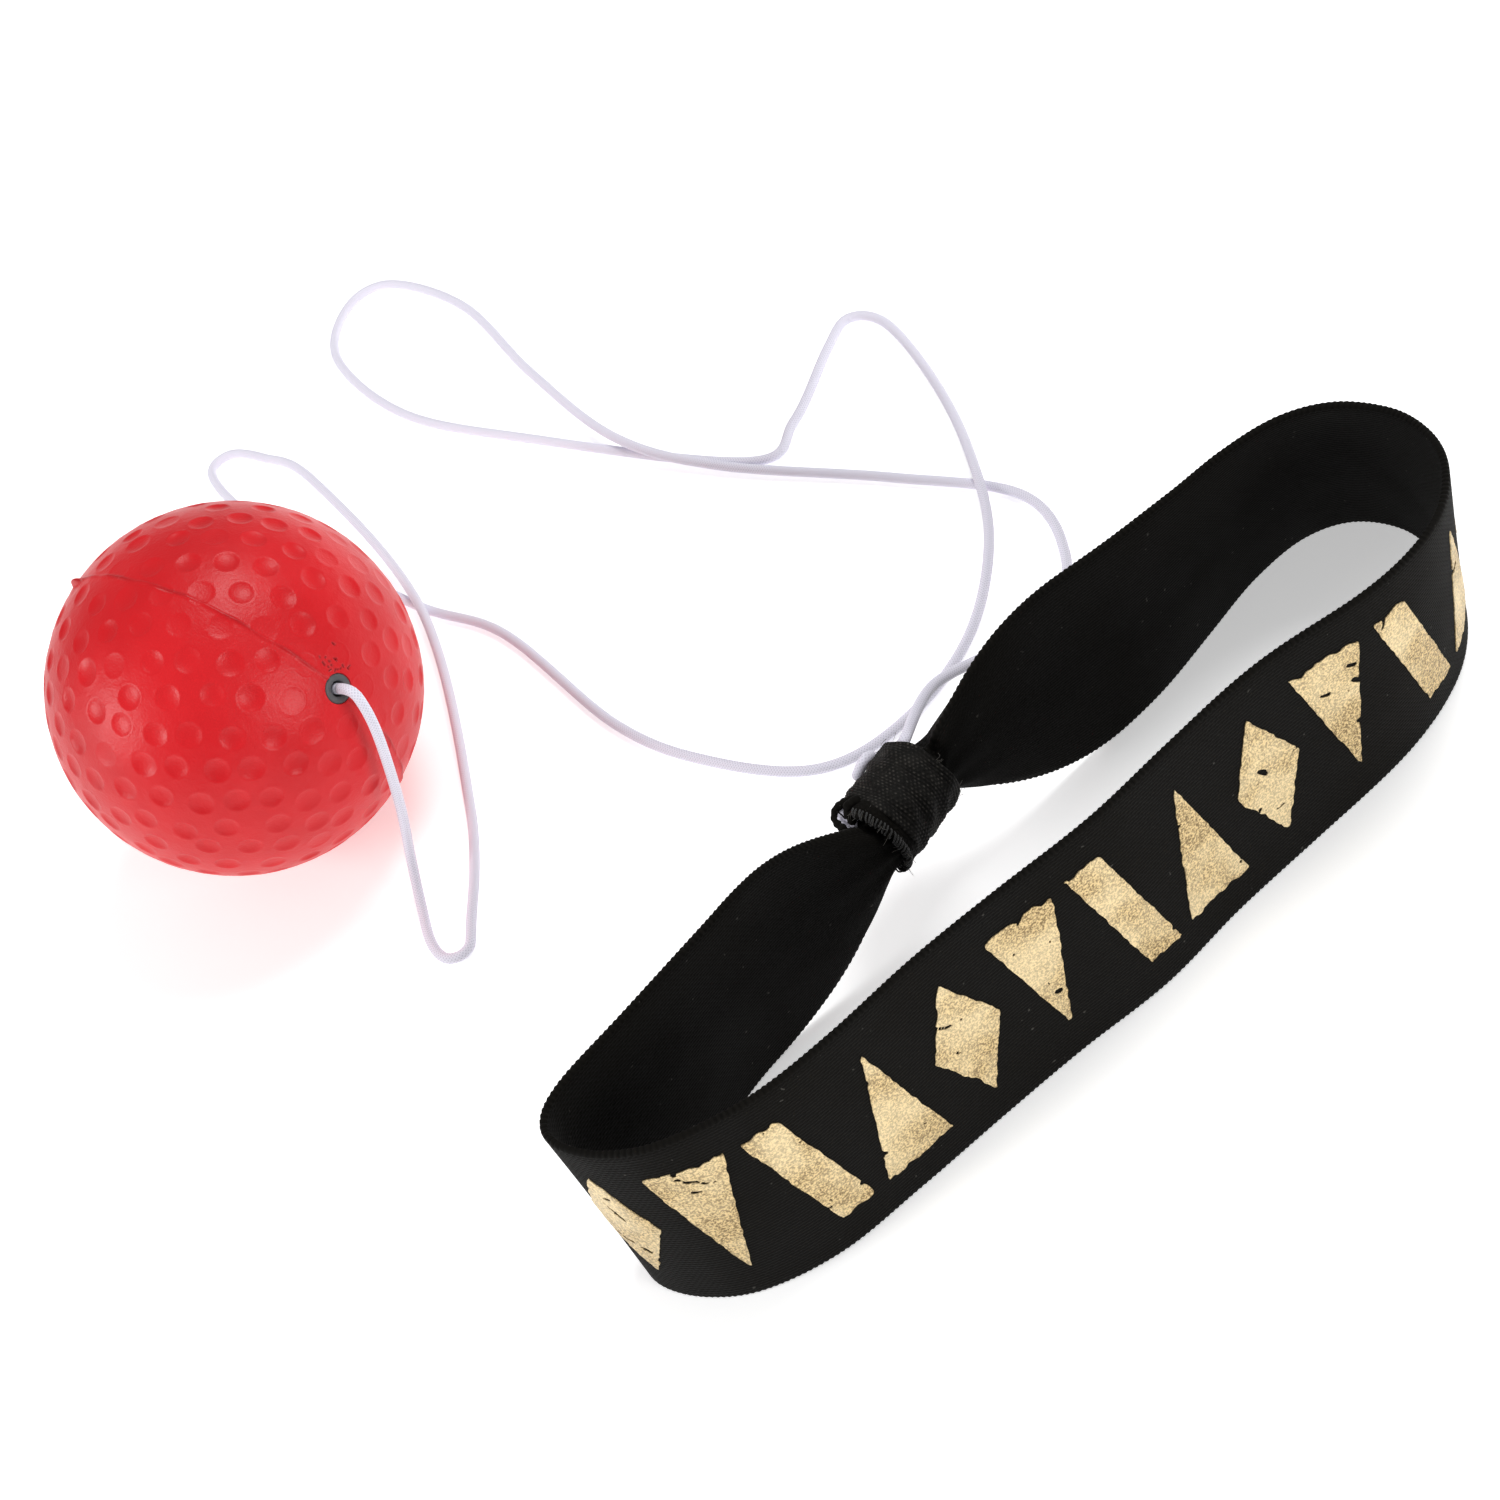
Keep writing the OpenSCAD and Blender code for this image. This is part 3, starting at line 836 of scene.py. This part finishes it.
def selvedge_fold():
    """The webbing's edge, folded over the knot beside the sleeve."""
    places = [(-5.9, 6.9, 158), (-6.8, 7.2, 150), (-7.8, 7.2, 141), (-8.8, 6.7, 137),
              (-9.6, 5.7, 141), (-10.0, 4.6, 152)]
    path = [ring_point(np.array(r), np.array(math.radians(turn)), np.array(x))
            for x, r, turn in places]
    line = respaced(curve(path, 8), 0.25)
    parts = [tube(line, 0.66 + 0.07 * np.sin(along(line) * 6), 9)]
    # a second, wider fold over the knot's near half
    places = [(-5.9, 6.8, 166), (-6.6, 7.0, 163), (-7.3, 6.9, 160), (-7.9, 6.1, 159),
              (-8.4, 5.0, 162)]
    path = [ring_point(np.array(r), np.array(math.radians(turn)), np.array(x))
            for x, r, turn in places]
    line = respaced(curve(path, 8), 0.25)
    parts.append(tube(line, 0.74 + 0.06 * np.sin(along(line) * 5), 9))
    for shift in (0.2, 1.3):
        across = [ring_point(np.array(r), np.array(math.radians(turn)), np.array(x + shift))
                  for x, r, turn in ((-8.9, 6.9, 136), (-8.6, 6.9, 146), (-9.0, 5.8, 156))]
        parts.append(tube(curve(across, 6), 0.13, 7))
    return joined(parts)


def loose_fibres():
    """Fine fibres that stand out of the cut end and the sleeve's edges."""
    parts = []
    for _ in range(22):
        turn = math.radians(random.uniform(165, 320))
        r = GATHER_R * 1.2 + GATHER_SHIFT + random.uniform(0.2, 1.0)
        x = -SLEEVE_L / 2 - LAP_L + random.uniform(-0.2, 0.6)
        start = ring_point(np.array(r), np.array(turn), np.array(x))
        aim = unit(np.array([-1.0, 0, 0]) + 0.8 * random.normal(size=3))
        reach, sag = random.uniform(0.6, 1.8), random.normal(size=3) * 0.5
        parts.append(tube(curve([start, start + aim * reach * 0.5 + sag * 0.4,
                                 start + aim * reach + sag], 5), 0.04, 5))
    for _ in range(16):
        turn = math.radians(random.uniform(0, 360))
        end = random.choice([-1, 1])
        start = ring_point(np.array(SLEEVE_R - 0.2), np.array(turn),
                           np.array(end * SLEEVE_L / 2.02))
        aim = unit(np.array([end, 0, 0]) + 0.7 * random.normal(size=3))
        reach = random.uniform(0.5, 1.4)
        bend = random.normal(size=3) * 0.3
        parts.append(tube(curve([start, start + aim * reach * 0.5 + bend,
                                 start + aim * reach], 4), 0.035, 5))
    return joined(parts)


def sleeve_stitches():
    """Two rows of stitches that hold the tape's second end."""
    r, parts = SLEEVE_R + SLEEVE_T * 0.8, []
    for turn in np.radians([48, 92]):
        for row in range(5):
            x = -SLEEVE_L / 2 + 0.6 + row * (SLEEVE_L - 2.6) / 4
            path = [ring_point(np.array(r + rise), np.array(turn), np.array(x + k))
                    for k, rise in ((-0.1, -0.3), (0.1, 0.12), (0.7, 0.24), (1.3, 0.12),
                                    (1.5, -0.3))]
            parts.append(tube(curve(path, 5), 0.17, 8))
    return joined(parts)


def add_sleeve(webbing_material):
    tape, thread = tape_look(), thread_look("dark_thread", (0.003, 0.0027, 0.0023),
                                            (0.008, 0.0074, 0.0064))
    pale = thread_look("worn_fibres", (0.02, 0.017, 0.013), (0.09, 0.078, 0.06))
    piece("tape_sleeve", moved(sleeve_tape(), at_sleeve), tape, "headband",
          ["keeper_sleeve"])
    piece("tape_stitches", moved(sleeve_stitches(), at_sleeve), thread,
          "headband", ["keeper_stitching"])
    piece("webbing_cut_end", moved(cut_end(), at_sleeve), webbing_material,
          "headband", ["webbing_lap_end"])
    piece("folded_selvedge", moved(selvedge_fold(), at_sleeve), webbing_material,
          "headband")
    piece("overlock_threads", moved(overlock(), at_sleeve), thread,
          "headband", ["lap_stitching"])
    piece("loose_fibres", moved(loose_fibres(), at_sleeve), pale, "headband")


# ---- the ball ----

PARTING = np.array([math.sin(math.radians(5)), -math.cos(math.radians(5)), 0])
PARTING_SIDE = np.array([math.cos(math.radians(5)), math.sin(math.radians(5)), 0])
TAB_TURN = -107


def dimple_places(count=330):
    """Evenly but irregularly spread directions, in the liner's frame."""
    places = unit(random.normal(size=(count, 3)))
    for _ in range(90):
        gaps = places[:, None] - places[None]
        distance = np.linalg.norm(gaps, axis=2) + np.eye(count)
        push = (gaps / distance[..., None] ** 5).sum(axis=1)
        size = np.linalg.norm(push, axis=1, keepdims=True)
        places = unit(places + push / size * np.minimum(size * 2e-5, 0.02))
    places += 0.012 * random.normal(size=places.shape)
    places = unit(places)
    return places[np.abs(places[:, 2]) < math.cos(4.3 / BALL_R)]


def ball_mesh(centres, radii):
    """Sphere in the liner's frame, finer at rims, flash and holes."""
    ball = bmesh.new()
    bmesh.ops.create_icosphere(ball, subdivisions=7, radius=1)

    def refine(chosen):
        edges = {e for f, yes in zip(ball.faces, chosen) if yes for e in f.edges}
        bmesh.ops.subdivide_edges(ball, edges=list(edges), cuts=1, use_grid_fill=True)
        bmesh.ops.triangulate(ball, faces=[f for f in ball.faces if len(f.verts) > 3])
        for vert in ball.verts:
            vert.co.normalize()

    def middles():
        ball.faces.ensure_lookup_table()
        return unit(np.array([f.calc_center_median() for f in ball.faces]))

    at = middles()
    nearest = np.concatenate([(part @ centres.T).argmax(axis=1)
                              for part in np.array_split(at, 20)])
    gap = BALL_R * np.arccos(np.clip((at * centres[nearest]).sum(1), -1, 1))
    hole = BALL_R * np.hypot(at[:, 0], at[:, 1])
    line = BALL_R * np.abs(at @ PARTING)
    refine((np.abs(gap - radii[nearest]) < 0.32) | (hole < 6) | (line < 0.7))
    at = middles()
    hole = BALL_R * np.hypot(at[:, 0], at[:, 1])
    line = BALL_R * np.abs(at @ PARTING)
    refine((line < 0.42) | ((hole < 8) & (at[:, 2] > 0)))
    return ball


def foam_ball():
    centres = dimple_places()
    radii = random.uniform(1.95, 2.25, len(centres))
    depth = random.uniform(0.36, 0.5, len(centres))
    depth[random.random(len(centres)) < 0.14] *= 0.4
    near = BALL_R * np.abs(centres @ PARTING)
    depth *= np.clip(0.2 + near / 6, 0.2, 1)
    from_liner = BALL_R * np.hypot(centres[:, 0], centres[:, 1])
    depth *= np.where(centres[:, 2] > 0, np.clip((from_liner - 2) / 9, 0.1, 1), 1)
    ball = ball_mesh(centres, radii)
    ball.verts.ensure_lookup_table()
    at = unit(np.array([v.co for v in ball.verts]))
    height = np.zeros(len(at))
    for part in np.array_split(np.arange(len(at)), 30):
        close = at[part] @ centres.T
        nearest = close.argmax(axis=1)
        gap = BALL_R * np.arccos(np.clip(close[np.arange(len(part)), nearest], -1, 1))
        share = gap / radii[nearest]
        height[part] -= depth[nearest] * np.clip(1 - share**2.6, 0, 1)
        height[part] += 0.035 * np.exp(-((share - 1.06) / 0.07) ** 2)
    height += 0.06 * wander(at * BALL_R, 9, 1) + 0.012 * wander(at * BALL_R, 1.4, 2)

    # flash along the parting line, with a tab where it was torn from the mould
    off = BALL_R * (at @ PARTING)
    turn = np.degrees(np.arctan2(at @ PARTING_SIDE, at[:, 2]))
    sway = 0.12 * np.sin(np.radians(turn) * 9) + 0.08 * np.sin(np.radians(turn) * 23)
    rise = np.where((turn > TAB_TURN) & (turn < 0), 0.24, 0.15)
    rise = rise * (0.75 + 0.35 * np.sin(np.radians(turn) * 31) * np.sin(np.radians(turn) * 13))
    ridge = np.exp(-np.abs((off - sway) / 0.3) ** 2.5)
    tab = np.exp(-((turn - TAB_TURN) / 3.2) ** 4)
    low = np.exp(-((turn - 52) / 9) ** 4)
    height += ridge * rise + 0.95 * tab * np.exp(-np.abs(off / 0.55) ** 3)
    height += 0.3 * low * np.exp(-np.abs(off / 0.8) ** 2)
    scar = 0.36 * ridge * (0.6 + 0.4 * np.sin(np.radians(turn) * 17))

    # small nicks above the liner tube's end
    up = unit(LINER.T @ np.array([0.52, 0.61, 0.61]) * [1, 1, 0])
    across = np.cross([0, 0, 1.0], up)
    for _ in range(16):
        where = unit(np.array([0, 0, 1.0]) * BALL_R + up * (2.9 + random.exponential(1.3))
                     + across * random.normal(0.4, 1.5))
        line = unit(up * random.uniform(-0.4, 1) + across * random.uniform(-1, 1))
        length, width = random.uniform(0.1, 0.6), random.uniform(0.1, 0.18)
        away = (at - where) * BALL_R
        ahead = np.maximum(np.abs(away @ line) - length / 2, 0)
        aside = np.linalg.norm(np.cross(away, line), axis=1)
        nick = np.exp(-(ahead**2 + aside**2) / width**2)
        height -= 0.22 * nick
        scar = np.maximum(scar, 0.75 * nick)

    for vert, place, h in zip(ball.verts, at, height):
        vert.co = place * (BALL_R + h)
    layer = ball.verts.layers.float.new("scar")
    for vert, value in zip(ball.verts, np.clip(scar, 0, 1)):
        vert[layer] = value

    # bore for the liner tube
    bmesh.ops.delete(ball, geom=[v for v in ball.verts if math.hypot(*v.co.xy) < LINER_R - 0.08],
                     context="VERTS")
    rims = [e for e in ball.edges if e.is_boundary]
    for vert in {v for e in rims for v in e.verts}:
        flat = vert.co.xy.normalized() * LINER_R
        vert.co.x, vert.co.y = flat
        vert.co.z = math.copysign(math.sqrt(BALL_R**2 - LINER_R**2) - 0.12, vert.co.z)
    bmesh.ops.bridge_loops(ball, edges=rims)
    bmesh.ops.recalc_face_normals(ball, faces=ball.faces)
    return ball


def add_ball():
    look = foam_look()
    ball = foam_ball()
    mesh = bpy.data.meshes.new("foam_ball")
    ball.to_mesh(mesh)
    ball.free()
    mesh.transform(Matrix([[*(LINER[i] * MM), BALL_AT[i] * MM] for i in range(3)]
                          + [[0, 0, 0, 1]]))
    mesh.shade_smooth()
    mesh.materials.append(look)
    obj = bpy.data.objects.new("foam_ball", mesh)
    bpy.context.scene.collection.objects.link(obj)
    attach(obj, "ball")
    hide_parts("ball_foam")

    sides, end = 72, math.sqrt(BALL_R**2 - LINER_R**2) - 0.05
    turn = np.arange(sides) * TURN / sides
    lip = [(BORE_R, end - 0.25), (BORE_R + 0.08, end - 0.08), (BORE_R + 0.3, end),
           (LINER_R - 0.4, end + 0.03), (LINER_R - 0.12, end - 0.04), (LINER_R - 0.02, end - 0.2)]
    profile = np.array(lip + [(r, -z) for r, z in lip[::-1]])
    R, T = np.meshgrid(profile[:, 0], turn)
    Z = np.broadcast_to(profile[:, 1], R.shape)
    rings = np.stack([R * np.cos(T), R * np.sin(T), Z], axis=-1)
    part = grid(rings, wrap_u=True, wrap_v=True)
    piece("liner_sleeve", moved(part, at_liner), plastic_look(), "ball",
          ["liner_tube"], crease=60)


# ---- everything, the camera and the cord first ----

add_camera()
cord_material = cord_look()
add_cord(cord_material)
add_knots(cord_material)
for name in ("cord_in_ball", "cord_in_sleeve"):
    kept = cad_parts[name]
    kept.data.materials.clear()
    kept.data.materials.append(cord_material)
add_sleeve(add_webbing())
add_ball()
add_studio()
